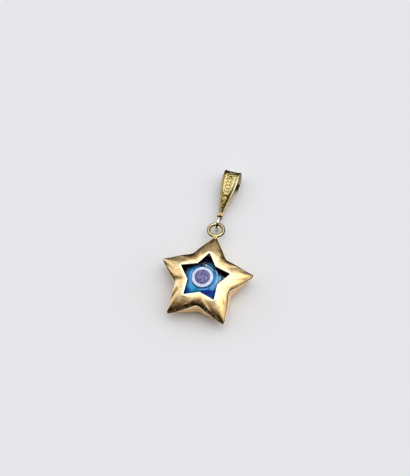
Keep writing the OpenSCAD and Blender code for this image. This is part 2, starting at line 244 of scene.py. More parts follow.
def starShell():
    # Rings in order: inner floor, inner slopes, window edge, rolled lip, outer slope, ridged seam, back slope, back
    s = star
    opening = (s["windowTipR"], s["windowNotchR"]) + s["windowRound"]
    rim = grown(opening[0], opening[1], s["lip"]) + s["windowRound"]
    seam = (s["tipR"], s["notchR"], s["tipRound"], s["notchRound"])
    seamIn = grown(seam[0], seam[1], -s["wall"]) + (s["innerTipRound"], s["notchRound"])
    h = s["halfHeight"]
    inner = starSlope(opening, seamIn, h - s["wall"], slopeRises(16, [0.04, 0]))
    outer = starSlope(rim, seam, h, slopeRises(46, [v / h for v in s["nearRidge"]]), s["ridge"])
    roll = np.radians(np.linspace(0, 90, 9)[:-1])[:, None]
    lipOut = s["lip"] * (1 - np.cos(roll))
    level = 0 * roll + 0 * slopeFoot
    lipXY = starPoints(*grown(opening[0] + level, opening[1] + level, lipOut), *s["windowRound"])
    lip = np.concatenate([lipXY, (h - s["lipDrop"] * (1 - np.sin(roll)) + level)[..., None]], -1)
    under = np.array([1, 1, -1])
    shrink = np.linspace(1, 0, 12)[1:, None, None] * np.array([1, 1, 0])
    floor = inner[:1] * shrink + inner[:1] * np.array([0, 0, 1])
    back = outer[:1] * shrink + outer[:1] * np.array([0, 0, 1])
    skin = np.concatenate([outer, (outer * under)[-2::-1], (back * under)])
    dent = s["dents"] * ripples(skin, s["dentSize"], 5) + s["grain"] * ripples(skin, s["grainSize"], 6, 24)
    dent *= np.clip((np.abs(skin[..., 2]) - 0.15) / 0.4, 0, 1)
    facing = outward(skin)
    facing *= np.sign((facing * skin).sum(-1, keepdims=True))
    flat = np.concatenate([np.zeros(len(outer) * 2 - 1), np.ones(len(back))])[:, None]
    skin = skin - facing * (dent * (1 - flat))[..., None]
    skin[..., 2] = np.clip(skin[..., 2], -h, h)
    rings = np.concatenate([(floor * under)[::-1], inner * under, inner[-2::-1], lip, skin])
    burnish = np.zeros(rings.shape[:2])
    first = len(floor) + 2 * len(inner) - 1
    # painted highlight: the polished lip is made pale all round
    burnish[first:first + len(lip)] = s["lipPolishAndHighlight"]
    outside = np.arange(len(rings))[:, None] >= first + len(lip)
    front = slice(first + len(lip), first + len(lip) + len(outer))
    # distance down each column from the bend: a dark line on it (painted dark reflection and dirt), a painted
    # highlight line just under it, then the satin wall, tinted peach as a painted warm reflection
    steps = np.linalg.norm(np.diff(outer, axis=0), axis=-1)
    arc = np.concatenate([np.zeros((1, outer.shape[1])), np.cumsum(steps, 0)])
    bend = s["bend"][0] + (s["bend"][1] - s["bend"][0]) * armWeight(aroundArm)
    below = arc - np.array([np.interp(-b, -z / h, a) for b, z, a in zip(bend, outer[..., 2].T, arc.T)])

    def bothHalves(mark, behind):
        inside = np.zeros((first + len(lip), mark.shape[1]))
        return np.concatenate([inside, mark, mark[-2::-1] * behind, np.zeros(back.shape[:2])])

    # painted dark reflection and dirt: a dark line along the bend, weaker on the lower half
    tarnish = bothHalves(np.clip(2 * (1 - (below / s["lineHalf"]) ** 2), 0, 1), s["lineBehind"])
    # painted highlight: a pale line just under the bend
    burnish += bothHalves(np.exp(-((below - s["highlightAt"]) / s["highlightWide"]) ** 2), 0)
    # peach on the wall of both halves: painted warm reflection, on a satin, less metallic finish
    blush = bothHalves(np.clip((below - s["peachFrom"]) / 0.3, 0, 1), 1)
    fromSolder = np.hypot(rings[..., 0] - s["loopX"] / 2, rings[..., 1] - s["tipR"] + 0.1)
    wire = np.clip((s["solderReach"] - fromSolder) / 0.3, 0, 1) * outside
    # painted shade: a smooth step down the outer slope from its middle to the bend, as strong as the way it faces
    # asks, and a painted highlight where that share is below 0
    way = np.degrees(np.arctan2(facing[..., 1], facing[..., 0]))[:len(outer)] % 360
    ways, shares, starts, lines = np.array(s["patina"]).T
    tarnish[front] *= np.interp(way, ways, lines)
    tarnish *= 1 - 0.9 * wire
    start = np.interp(way, ways, starts)
    share = slopeShare(outer)
    bright, reach = s["aboutWindow"]
    # painted highlight on the slope next to the window
    burnish[front] += bright * np.clip(1 - share / reach, 0, 1)
    atBend = np.array([np.interp(0, d, r) for d, r in zip(below.T, share.T)])
    foot = np.clip((share - start) / np.maximum(atBend - start, 0.05), 0, 1) * (below < 0.03)
    patina = np.zeros(rings.shape[:2])
    signedFacingShade = foot * (2 - foot) * np.interp(way, ways, shares)
    patina[front] = np.clip(signedFacingShade, 0, 1)
    # painted highlight where a slope's share is below 0
    burnish[front] += np.clip(-signedFacingShade, 0, 1)
    patina *= 1 - 0.95 * wire
    return rings, cells(len(rings), rings.shape[1], closed=True), {
        "burnish": burnish, "tarnish": tarnish, "blush": blush, "patina": patina, "wire": wire}


def solderBead():
    # A lump between tip and loop: a sphere whose radius grows by cos(2a) cos(b), stretched along Y, with a soft ripple
    a = np.linspace(0, 2 * np.pi, 48, endpoint=False)[None, :]
    b = np.linspace(-np.pi / 2, np.pi / 2, 25)[:, None]
    radius = star["solderR"] + star["solderBulge"] * np.cos(2 * a) * np.cos(b)
    wide, long = star["solderStretch"]
    p = np.stack([radius * np.cos(b) * np.cos(a) * wide,
                  radius * np.cos(b) * np.sin(a) * long, radius * np.sin(b) + 0 * a], -1)
    lumpy = (0.96 + 0.08 * ripples(p, 0.5, 3))[..., None]
    p = p * lumpy + np.array([star["loopX"] / 2, star["tipR"] - star["solderIn"], 0])
    return p, cells(len(b), a.shape[1], closed=True), {"wire": 1}


def caseLoop():
    # The soldered loop: a ring in the XY plane, leaning back about X
    droop = np.radians(star["loopDroop"])
    u, v = np.array([1.0, 0, 0]), np.array([0, np.cos(droop), -np.sin(droop)])
    centre = np.array([star["loopX"], star["loopY"], -star["loopR"] * np.sin(droop)])
    p = roundWire(centre, u, v, star["loopR"], star["loopWire"])
    middleLine = centre + star["loopR"] * wireOut(u, v, p.shape[0])
    # painted shade on the loop wire's sides and underside
    return p, ringCells(*p.shape[:2]), {"wire": 1, "tarnish": sideShade(p - middleLine, 1.02)}


starCase = sealed("starCase", [starShell(), caseLoop(), solderBead()])
print("star case:", len(starCase.data.polygons), "faces")


# Glass eye

eye = {
    "beadR": 4.25, "offset": 0.18, "domeR": 6.8, "top": 2.2, "bottom": -1.75,
    "whiteR": 1.78, "whiteDepth": 0.5, "pupilR": 1.27, "pupilDepth": 0.3, "gap": 0.03,
    "turns": 200, "shadeReach": 0.5,
}


def dome(r):
    # Height of the bead's front at a radius: top of a large sphere
    return eye["top"] - eye["domeR"] + np.sqrt(eye["domeR"] ** 2 - r ** 2)


def softened(profile, size, steps=4):
    # Corners of a profile cut to arcs: quadratic curves between points a little before and after each corner
    p = np.asarray(profile, float)
    out = [p[:1]]
    for before, corner, after in zip(p[:-2], p[1:-1], p[2:]):
        a = corner + (before - corner) * min(size / (np.linalg.norm(before - corner) + 1e-9), 0.45)
        b = corner + (after - corner) * min(size / (np.linalg.norm(after - corner) + 1e-9), 0.45)
        k = np.linspace(0, 1, steps + 1)[:, None]
        out.append((1 - k) ** 2 * a + 2 * k * (1 - k) * corner + k ** 2 * b)
    return np.concatenate(out + [p[-1:]])


def turned(profile):
    # A profile of radius and height carried round the bead's axis
    a = np.linspace(0, 2 * np.pi, eye["turns"], endpoint=False)[None, :]
    r, z = profile[:, :1], profile[:, 1:]
    p = np.stack([r * np.cos(a) - eye["offset"], r * np.sin(a), z + 0 * a], -1)
    return p, cells(len(profile), eye["turns"], closed=True), {}


def span(a, b, count):
    return np.linspace(a, b, count)[:, None]


def beadProfile():
    # Lower dome from its pole, straight girdle, upper dome inwards, wall and floor of the seat
    r = span(0, eye["beadR"], 40)
    lower = np.hstack([r, eye["bottom"] + eye["domeR"] - np.sqrt(eye["domeR"] ** 2 - r ** 2)])
    r = span(eye["beadR"], eye["whiteR"], 50)
    upper = np.hstack([r, dome(r)])
    seat = eye["top"] - eye["whiteDepth"]
    return np.concatenate([lower, upper, softened([upper[-1], [eye["whiteR"], seat], [0, seat]], 0.03)[1:]])


def discProfile(inner, outer, low, raised):
    # Flat underside, outer wall, domed top a hair above the glass at its crown, and the seat for the next disc
    base = [[0, low], [outer, low], [outer, dome(outer) - 0.02]]
    r = span(outer - 0.03, max(inner, 0) + (0.03 if inner else 0), 26)
    crown = np.hstack([r, dome(r)])
    if raised:
        return np.concatenate([base, crown])
    seat = eye["top"] - eye["pupilDepth"]
    return np.concatenate([base, crown, [[inner, dome(inner) - 0.02], [inner, seat], [0, seat]]])


def rimShade(p):
    # 1 under the window's rim, fading inwards: distance to the flank of the window's star, each arm folded onto half
    # of itself, over the reach of the shade
    x, y = p[..., 0], p[..., 1]
    fold = np.abs((np.degrees(np.arctan2(y, x)) - 90 + 36) % 72 - 36)
    a, b = np.hypot(x, y) * np.cos(np.radians(fold)), np.hypot(x, y) * np.sin(np.radians(fold))
    tip, notch = star["windowTipR"], star["windowNotchR"] * np.array([np.cos(tenth), np.sin(tenth)])
    flank = notch - np.array([tip, 0])
    inside = ((a - tip) * flank[1] - b * flank[0]) / -np.hypot(*flank)
    return np.clip(1 - inside / eye["shadeReach"], 0, 1) * (p[..., 2] > 0)


bead, beadCells, beadMarks = turned(beadProfile())
glassBead = sealed("glassBead", [(bead, beadCells, {"shade": rimShade(bead)})])
whiteLow, pupilLow = [eye["top"] - eye[depth] + eye["gap"] for depth in ("whiteDepth", "pupilDepth")]
whiteDisc = sealed("whiteDisc", [turned(discProfile(eye["pupilR"], eye["whiteR"] - eye["gap"], whiteLow, False))])
pupilDisc = sealed("pupilDisc", [turned(discProfile(0, eye["pupilR"] - eye["gap"], pupilLow, True))])
print("glass eye:", sum(len(o.data.polygons) for o in (glassBead, whiteDisc, pupilDisc)), "faces")


# Link

link = {
    "r": 1.2, "wire": 0.2, "place": (-0.3, 10.72, -0.69), "lean": 5, "cutAt": 215, "cutDepth": 0.03, "cutWidth": 1.1,
    "turns": 240, "sides": 32, "shadeAt": 10.1, "shadeFrom": 11.5, "under": 0.35,
}


def linkRing():
    # A round wire ring; its radius dips by a narrow bell curve where its cut ends meet
    lean = np.radians(90 + link["lean"])
    u, v = np.array([np.cos(lean), 0, -np.sin(lean)]), np.array([0, 1.0, 0])
    centre, turns, sides = np.array(link["place"]), link["turns"], link["sides"]
    a = np.linspace(0, 360, turns, endpoint=False)
    wire = link["wire"] - link["cutDepth"] * np.exp(-((a - link["cutAt"]) / link["cutWidth"]) ** 2)
    p = roundWire(centre, u, v, link["r"], wire, turns, sides)
    middleLine = centre + link["r"] * wireOut(u, v, turns)
    # painted shade on the wire's sides and underside, where it meets the loop and inside the bail's hole
    contactShade = np.clip(1.8 * np.exp(-((p[..., 1] - link["shadeAt"]) / 0.26) ** 2), 0, 1) * (p[..., 2] > -0.6)
    contactShade = np.maximum(contactShade, np.clip((p[..., 1] - link["shadeFrom"]) / 0.15, 0, 1))
    linkShade = np.maximum(link["under"] * sideShade(p - middleLine, 0.6), contactShade)
    return p, ringCells(turns, sides), {"burnish": 0.8, "tarnish": linkShade}


linkPiece = sealed("linkRing", [linkRing()])
print("link:", len(linkPiece.data.polygons), "faces")


# Bail

bail = {
    "length": 8.75, "topWidth": 2.72, "footWidth": 0.84, "foldR": 1.45, "strap": 0.25, "holeR": 0.3, "footY": 0.9,
    "border": 0.24, "panelDepth": 0.07, "edgeRound": 0.05,
    "flare": (0.3, 6.8), "roll": 1, "turn": 3.3, "pitch": 0.2, "place": (-0.3, 11.9, -0.688),
    "sprigFrom": 3.9, "sprigTo": 7.9, "leafStep": 0.62, "leaf": (0.32, 0.12), "leafLean": 38, "stem": 0.06,
    # how far from the hole the lower half's darker clouds and the foot's peach end, and how much thinner than the
    # strap the leaves are drawn on their inside
    "lowerTo": 4.9, "peachTo": 1.5, "inset": 0.012,
}


def bailPath():
    # Outside of the strap seen from its side: foot, straight leaf, round fold, straight leaf, foot; with its normals
    foldY, r = bail["length"] - bail["foldR"], bail["foldR"]
    reach = foldY - bail["footY"]
    slant = np.arcsin(r / np.hypot(reach, bail["strap"])) - np.arctan2(bail["strap"], reach)
    tangent = np.array([foldY - r * np.sin(slant), r * np.cos(slant)])
    start = np.array([bail["footY"], bail["strap"]])
    leaf = np.linalg.norm(tangent - start)
    end, hole = bail["footWidth"] / 2, bail["holeR"]
    tip = -end * np.cos(np.linspace(0, np.arccos(hole / end), 9)[:-1])
    inHole = -hole * np.cos(np.linspace(0, np.pi, 31))
    foot = np.concatenate([tip, inHole, np.linspace(hole, bail["footY"] - 0.06, 16)[1:]])
    front = np.linspace(bail["footY"] + 0.06, bail["footY"] + leaf, 200)
    around = np.linspace(0, 1, 96)[1:-1] * (np.pi + 2 * slant)
    back = np.linspace(bail["footY"] + leaf, bail["footY"] + 0.06, 56)

    def leafPoints(s, side):
        on = np.clip(s - bail["footY"], 0, None)
        y = np.minimum(s, bail["footY"]) + on * np.cos(slant)
        z = bail["strap"] + on * np.sin(slant)
        lean = slant * np.clip((s - bail["footY"] + 0.06) / 0.12, 0, 1)
        return np.stack([y, z * side, -np.sin(lean), side * np.cos(lean), s], -1)

    turn = np.pi / 2 + slant - around
    fold = np.stack([foldY + r * np.cos(turn), r * np.sin(turn), np.cos(turn), np.sin(turn),
                     bail["footY"] + leaf + around * r], -1)
    backLeaf = leafPoints(np.concatenate([back, foot[::-1]]), -1)
    backLeaf[:, 4] = -1  # no ornament behind
    rows = np.concatenate([leafPoints(np.concatenate([foot, front]), 1), fold, backLeaf])
    return rows, len(foot) + len(front) + len(fold)


def sprigHeight(x, s, swell=1):
    # A leafy sprig up the panel: 1 along its stem and on the ridge of each leaf, an ellipse leaning outwards, falling
    # to 0 at its edge as a parabola; leaves grow with the panel's width
    height = np.clip(1 - (x / bail["stem"]) ** 2, 0, 1) * ((s > bail["sprigFrom"]) & (s < bail["sprigTo"]))
    lean = np.radians(bail["leafLean"])
    for at in np.arange(bail["sprigFrom"], bail["sprigTo"] - 0.3, bail["leafStep"]):
        size = 0.75 + 0.35 * (at - bail["sprigFrom"]) / (bail["sprigTo"] - bail["sprigFrom"])
        a, b = np.abs(x) - 0.34 * size, s - at - 0.2
        along, across = a * np.sin(lean) + b * np.cos(lean), a * np.cos(lean) - b * np.sin(lean)
        long, broad = np.array(bail["leaf"]) * size * swell
        height = np.maximum(height, np.clip(1 - (along / long) ** 2 - (across / broad) ** 2, 0, 1))
    return height


def bailWidth(y):
    # Half the strap's width: an S-shaped flare, ended by a half circle at the foot
    half = bail["footWidth"] / 2
    share = np.clip((y - bail["flare"][0]) / (bail["flare"][1] - bail["flare"][0]), 0, 1)
    taper = half + (bail["topWidth"] / 2 - half) * share ** 2 * (3 - 2 * share)
    return np.where(y < 0, np.sqrt(np.clip(half ** 2 - y ** 2, 0, None)), taper)


def bailStrap():
    # Left and right halves of the outside and inside, split so that the hole opens between them
    rows, frontRows = bailPath()
    y, z, ny, nz, s = [rows[:, k:k + 1] for k in range(5)]
    wide = bailWidth(y)
    hole = np.sqrt(np.clip(bail["holeR"] ** 2 - y ** 2, 0, None)) * (np.abs(y) <= bail["holeR"])
    inset = np.maximum(wide - bail["border"], hole + 0.45 * (wide - hole))
    er = bail["edgeRound"]
    corner = np.radians(np.linspace(0, 90, 5))
    edgeIn = np.concatenate([er * (1 - np.cos(corner)), [0.1, 0.16, 0.195, 0.215, 0.23, 0.24]])
    edgeDown = np.concatenate([er * (1 - np.sin(corner)), np.zeros(6)])
    border = wide - (wide - inset) * edgeIn[None, :] / bail["border"]
    across = np.linspace(1, 0, 36)[None, 1:]
    panelX = hole + (inset - hole) * across
    x = np.concatenate([border, panelX], 1)
    sink = np.concatenate([edgeDown, np.zeros(panelX.shape[1])])[None, :] * np.clip((wide - hole) / 0.2, 0, 1)
    # panel: sunk between the borders, from a little above the foot all the way round
    step = np.clip((wide - bail["border"] + 0.005 - x) / 0.045, 0, 1)
    panel = (step ** 2 * (3 - 2 * step)) * np.clip((y - (bail["footY"] + 0.4)) / 0.06, 0, 1)
    shown = s > 0
    relief = sprigHeight(x, s) * shown
    sunk = bail["panelDepth"] * panel * (1 - np.sqrt(relief))
    depth = np.maximum(sunk, sink)
    # dark marks: painted shadow lines along the border's step (below), dirt round the raised leaves, darker clouds in
    # the lower half, dark speckles over the fold, painted shade about the hole, and the back leaf's outside darker all
    # over
    gap = wide - bail["border"] - x
    cloud = ripples(np.stack([x, s + 0 * x, z + 0 * x], -1), 0.45, 8)
    speck = ripples(np.stack([x, s + 0 * x, z + 0 * x], -1), 0.3, 9)
    nearLeaves = np.clip(5 * sprigHeight(x, s, 1.6), 0, 1) * np.clip(1.5 - 3 * relief, 0, 1)
    marks = nearLeaves * np.clip(2.4 * speck - 0.3, 0, 1) * panel
    lower = np.clip((bail["lowerTo"] - s) / 0.9, 0, 1) * np.clip(2.4 * cloud - 0.55, 0, 1.1)
    lower = lower * np.where(panel > 0.5, 1, 0.6)
    ragged = bail["length"] - 1.2 + 4.5 * (speck - 0.5)
    crest = np.clip((y - ragged) / 0.12, 0, 1.4) * np.clip((z - 0.1) / 0.4, 0, 1)
    # painted shade about the hole
    mouth = np.clip((0.7 - np.hypot(x, y + 0.2)) / 0.15, 0, 1.3) * np.clip((y + 0.15) / 0.1, 0, 1)
    tarnish = np.max([marks, lower, crest, mouth], axis=0) * shown + np.maximum(0.35, mouth) * (1 - shown)
    insideX = np.concatenate([border[:, :5], hole + (inset - hole) * np.linspace(1, 0, 7)[None, :]], 1)
    full = bail["strap"] - bail["inset"]
    insideDown = full - edgeDown[None, :5] * 0.5 * np.clip((wide - hole) / 0.2, 0, 1)
    insideDown = np.concatenate([insideDown, np.full((len(y), 7), full)], 1)
    lowDown = np.clip((6.6 - s) / 3, 0, 1)  # the right painted shadow line grows thicker towards the foot
    lines = {1: (0.13, 0.11 + 0.16 * lowDown, 0.7 + 0.8 * lowDown), -1: (0.08, 0.1, 1)}  # painted shadow lines beside the borders: place, width and strength
    peach = np.clip((bail["peachTo"] - s) / 0.4, 0, 1) * shown
    ofBorder = (gap < -0.02) * (y > bail["footY"])  # painted shade on the left border, painted highlight on the right
    grids = []
    for side in (1, -1):
        top = np.stack([side * x, y - ny * depth, z - nz * depth], -1)
        low = np.stack([side * insideX, y - ny * insideDown, z - nz * insideDown], -1)
        at, broad, strong = lines[side]
        # painted shadow line beside the border
        edge = strong * np.exp(-((gap - at) / broad) ** 2) * (shown & (y > bail["footY"]))
        grids.append((top, cells(*top.shape[:2]), {
            "tarnish": np.max([tarnish, edge, 0.6 * ofBorder * (side < 0)], axis=0),
            "burnish": np.maximum(0.5 * ofBorder * (side > 0), 0.12 * panel * (s > 4.6)), "blush": peach}))
        # painted shade deep inside the fold; the rest of the inside is made pale as painted light
        deep = 1.2 * np.exp(-((y - 6.6) / 1.15) ** 2) + 0 * low[..., 0]
        grids.append((low, cells(*low.shape[:2]), {"tarnish": deep, "inside": 1, "burnish": 0.8}))
        wall = np.stack([top[:, 0], low[:, 0]], 1)
        # painted shade on the leaves' edge walls
        grids.append((wall, cells(*wall.shape[:2]), {"tarnish": 0.6 if side < 0 else 0.9}))
        # wall of the hole in painted shade, only over the rows that cross it in each leaf
        crossing = np.flatnonzero(np.abs(y[:, 0]) <= bail["holeR"] + 1e-6)
        for crossed in (crossing[crossing < frontRows], crossing[crossing >= frontRows]):
            pair = np.stack([top[crossed, -1], low[crossed, -1]], 1)
            grids.append((pair, cells(*pair.shape[:2]), {"tarnish": 1}))
    roll, turn, pitch = [np.radians(bail[k]) for k in ("roll", "turn", "pitch")]
    place = Matrix.Rotation(-turn, 3, "Z") @ Matrix.Rotation(pitch, 3, "X") @ Matrix.Rotation(-roll, 3, "Y")
    place = np.array(place)
    return [(p @ place.T + np.array(bail["place"]), f, m) for p, f, m in grids]


bailPiece = sealed("bailStrap", bailStrap(), sharp=50)
print("bail:", len(bailPiece.data.polygons), "faces")


# Materials

def newMaterial(name):
    material = bpy.data.materials.new(name)
    material.use_nodes = True
    return material, material.node_tree.nodes, material.node_tree.links, material.node_tree.nodes["Principled BSDF"]


def mixColour(nodes, links, share, a, b):
    # share times b over a; each colour is four numbers or a socket
    node = nodes.new("ShaderNodeMix")
    node.data_type = "RGBA"
    for socket, value in ((node.inputs[0], share), (node.inputs[6], a), (node.inputs[7], b)):
        if isinstance(value, bpy.types.NodeSocket):
            links.new(value, socket)
        else:
            socket.default_value = value
    return node.outputs[2]


def remap(nodes, links, value, fromMin, fromMax, toMin=0.0, toMax=1.0, smooth=False):
    node = nodes.new("ShaderNodeMapRange")
    node.interpolation_type = "SMOOTHSTEP" if smooth else "LINEAR"
    links.new(value, node.inputs[0])
    for k, v in enumerate((fromMin, fromMax, toMin, toMax)):
        node.inputs[k + 1].default_value = v
    return node.outputs[0]


def combine(nodes, links, how, a, b):
    node = nodes.new("ShaderNodeMath")
    node.operation = how
    for socket, value in zip(node.inputs, (a, b)):
        if isinstance(value, bpy.types.NodeSocket):
            links.new(value, socket)
        else:
            socket.default_value = value
    return node.outputs[0]


def sumOfSquares(nodes, links, a, b):
    return combine(nodes, links, "ADD", combine(nodes, links, "MULTIPLY", a, a),
                   combine(nodes, links, "MULTIPLY", b, b))


def noise(nodes, links, where, size, detail=3, rough=0.5, stretch=(1, 1, 1), turn=(0, 0, 0)):
    # Noise whose grain is about size millimetres, stretched along an axis and turned
    mapping = nodes.new("ShaderNodeMapping")
    mapping.inputs["Rotation"].default_value = [np.radians(v) for v in turn]
    mapping.inputs["Scale"].default_value = stretch
    texture = nodes.new("ShaderNodeTexNoise")
    texture.inputs["Scale"].default_value = 1000 / size
    texture.inputs["Detail"].default_value = detail
    texture.inputs["Roughness"].default_value = rough
    links.new(where, mapping.inputs["Vector"])
    links.new(mapping.outputs[0], texture.inputs["Vector"])
    return texture.outputs["Fac"]


def markOf(nodes, name):
    # A mark painted on the points of a mesh, 0 where it has none
    node = nodes.new("ShaderNodeAttribute")
    node.attribute_name = name
    return node.outputs["Fac"]


def goldMaterial(name, look):
    # Brushed gold: warm and pale patches, fine grain, hair scratches in three directions, bright where polished and
    # where highlights are painted, dark in speckles where dirt and painted shade are marked, matt inside
    material, nodes, links, shader = newMaterial(name)
    where = nodes.new("ShaderNodeTexCoord").outputs["Object"]
    patches = noise(nodes, links, where, look["patchSize"])
    colour = mixColour(nodes, links, remap(nodes, links, patches, 0.35, 0.65), look["warm"], look["pale"])
    fine = noise(nodes, links, where, look["grainSize"], 3, 0.65)
    colour = mixColour(nodes, links, remap(nodes, links, fine, 0.52, 0.66, 0, look["specks"]), colour, look["dark"])
    specks = remap(nodes, links, fine, 0.46, 0.34, 0, look["specks"] * 0.6)
    colour = mixColour(nodes, links, specks, colour, look["bright"])
    blush, burnish, tarnish, patina, inside, wire = [
        markOf(nodes, k) for k in ("blush", "burnish", "tarnish", "patina", "inside", "wire")]
    blushed = remap(nodes, links, patches, 0.35, 0.65, 0.7 * look["blush"], 1.1 * look["blush"])
    blushed = combine(nodes, links, "MULTIPLY", blush, blushed)
    colour = mixColour(nodes, links, blushed, colour, look["peach"])
    colour = mixColour(nodes, links, wire, colour, look["wire"])
    # polish and painted highlights
    colour = mixColour(nodes, links, burnish, colour, look["bright"])
    uneven = remap(nodes, links, fine, 0.3, 0.65, 0.7, 1.25)
    # dirt and painted shade
    stainAndShade = combine(nodes, links, "MULTIPLY", combine(nodes, links, "ADD", tarnish, patina), uneven)
    stainAndShade = combine(nodes, links, "MULTIPLY", stainAndShade, look["tarnish"])
    colour = mixColour(nodes, links, stainAndShade, colour, look["dark"])
    scratches = [noise(nodes, links, where, 0.16, 1, 0.4, stretch, turn) for stretch, turn in (
        ((1, 0.06, 1), (0, 0, 24)), ((0.06, 1, 1), (0, 0, 11)), ((1, 0.08, 1), (0, 0, -52)))]
    scored = combine(nodes, links, "MAXIMUM", scratches[0], scratches[1])
    scored = combine(nodes, links, "MAXIMUM", scored, scratches[2])
    scored = remap(nodes, links, scored, 0.62, 0.75)
    rough = remap(nodes, links, patches, 0.3, 0.7, look["rough"] - 0.04, look["rough"] + 0.05)
    for mark, more in ((scored, 0.06), (burnish, -0.08), (stainAndShade, 0.12), (inside, 0.35), (blush, look["satin"])):
        rough = combine(nodes, links, "ADD", rough, combine(nodes, links, "MULTIPLY", mark, more))
    links.new(colour, shader.inputs["Base Color"])
    links.new(mixColour(nodes, links, stainAndShade, (1, 1, 1, 1), look["dark"]), shader.inputs["Specular Tint"])
    links.new(rough, shader.inputs["Roughness"])
    shader.inputs["Metallic"].default_value = 1.0
    if look["chalk"]:
        chalky = combine(nodes, links, "MULTIPLY", blush, look["chalk"])
        links.new(combine(nodes, links, "SUBTRACT", 1.0, chalky), shader.inputs["Metallic"])
    height = combine(nodes, links, "SUBTRACT", fine, combine(nodes, links, "MULTIPLY", scored, 0.4))
    bump = nodes.new("ShaderNodeBump")
    bump.inputs["Strength"].default_value = look["bump"]
    bump.inputs["Distance"].default_value = 0.00003
    links.new(height, bump.inputs["Height"])
    links.new(bump.outputs[0], shader.inputs["Normal"])
    return material


# what the link's and the bail's gold share
plainGold = {
    "peach": (0.62, 0.43, 0.27, 1), "satin": 0.0, "chalk": 0.0, "wire": (0.84, 0.69, 0.28, 1),
    "patchSize": 1.2, "grainSize": 0.2,
}
caseGold = goldMaterial("caseGold", {
    "warm": (0.84, 0.57, 0.25, 1), "pale": (0.95, 0.69, 0.33, 1), "dark": (0.05, 0.027, 0.009, 1),
    "bright": (1.0, 0.95, 0.80, 1), "peach": (1.0, 0.66, 0.34, 1), "wire": (0.97, 0.81, 0.38, 1),
    "blush": 0.85, "satin": 0.2, "chalk": 0.28, "tarnish": 1.0,
    "patchSize": 1.6, "grainSize": 0.34, "specks": 0.28, "rough": 0.17, "bump": 0.9})
linkGold = goldMaterial("linkGold", {
    **plainGold, "warm": (0.95, 0.70, 0.36, 1), "pale": (1.0, 0.82, 0.5, 1), "dark": (0.05, 0.03, 0.012, 1),
    "bright": (1.0, 0.93, 0.74, 1), "blush": 0.0, "tarnish": 1.2, "specks": 0.3, "rough": 0.13, "bump": 0.2})
bailGold = goldMaterial("bailGold", {
    **plainGold, "warm": (0.76, 0.60, 0.21, 1), "pale": (0.86, 0.72, 0.30, 1), "dark": (0.05, 0.03, 0.009, 1),
    "bright": (1.0, 0.92, 0.70, 1), "blush": 0.85, "tarnish": 0.95, "specks": 0.35, "rough": 0.2, "bump": 0.3})


def eyeAxes(nodes, links):
    # Millimetres right of and above the eye's centre, and the radius from it
    centred = nodes.new("ShaderNodeMapping")
    centred.inputs["Location"].default_value = [-v for v in middle + np.array([-eye["offset"], 0, 0])]
    centred.inputs["Scale"].default_value = (1000, 1000, 1000)
    where = nodes.new("ShaderNodeTexCoord").outputs["Object"]
    links.new(where, centred.inputs["Vector"])
    split = nodes.new("ShaderNodeSeparateXYZ")
    links.new(centred.outputs[0], split.inputs[0])
    x, y = split.outputs[0], split.outputs[1]
    return where, x, y, combine(nodes, links, "SQRT", sumOfSquares(nodes, links, x, y), 0)


def spot(nodes, links, x, y, place, size, soft=0.5):
    # 1 within a spot of the eye's plane, fading to 0 at its edge
    dx = combine(nodes, links, "DIVIDE", combine(nodes, links, "SUBTRACT", x, place[0]), size[0])
    dy = combine(nodes, links, "DIVIDE", combine(nodes, links, "SUBTRACT", y, place[1]), size[1])
    return remap(nodes, links, sumOfSquares(nodes, links, dx, dy), 1, 1 - soft, 0, 1, True)


def arc(nodes, links, x, y, r, radius, width, angle, spread):
    # 1 on an arc about the eye: near its radius and within spread degrees of its angle
    off = combine(nodes, links, "ABSOLUTE", combine(nodes, links, "SUBTRACT", r, radius), 0)
    on = remap(nodes, links, off, width, width * 0.3, 0, 1, True)
    a = np.radians(angle)
    ahead = combine(nodes, links, "ADD", combine(nodes, links, "MULTIPLY", x, np.cos(a)),
                    combine(nodes, links, "MULTIPLY", y, np.sin(a)))
    facing = combine(nodes, links, "DIVIDE", ahead, r)
    near = remap(nodes, links, facing, np.cos(np.radians(spread)), np.cos(np.radians(spread * 0.6)), 0, 1, True)
    return combine(nodes, links, "MULTIPLY", on, near)


glassLook = {
    "blue": (0.004, 0.16, 0.46, 1), "sea": (0.008, 0.22, 0.42, 1), "deep": (0.0, 0.045, 0.10, 1),
    "light": (0.08, 0.48, 0.85, 1), "navy": (0.0, 0.018, 0.27, 1), "rich": (0.0, 0.09, 0.45, 1),
    "teal": (0.006, 0.14, 0.26, 1), "black": (0.0006, 0.0006, 0.003, 1), "pale": (0.42, 0.66, 0.92, 1),
    "white": (0.8, 0.88, 0.95, 1), "line": (0.0, 0.03, 0.11, 1), "strip": (0.14, 0.38, 0.85, 1),
    "violet": (0.05, 0.035, 0.10, 1),
    # pale threads and painted reflections: radius about the eye, width, compass angle, spread in degrees, colour
    "streaksAndReflections": ((2.42, 0.1, 12, 36, "pale"), (2.84, 0.13, 3, 17, "pale"), (2.62, 0.05, -2, 24, "strip"),
                (2.12, 0.12, -72, 26, "strip"), (2.05, 0.09, 64, 24, "pale"), (2.9, 0.1, 158, 10, "violet")),
    # place from the eye's centre and half widths of the teal clouds and of the painted glints
    "clouds": (((0.8, 2.2), (1.4, 0.7)), ((3.05, 0.35), (0.8, 0.8))),
    "paintedGlints": (((0.11, 2.14), (0.17, 0.13)), ((0.42, 2.0), (0.1, 0.08)), ((3.45, 0.62), (0.2, 0.28)),
                ((-0.35, 2.3), (0.07, 0.07))),
}


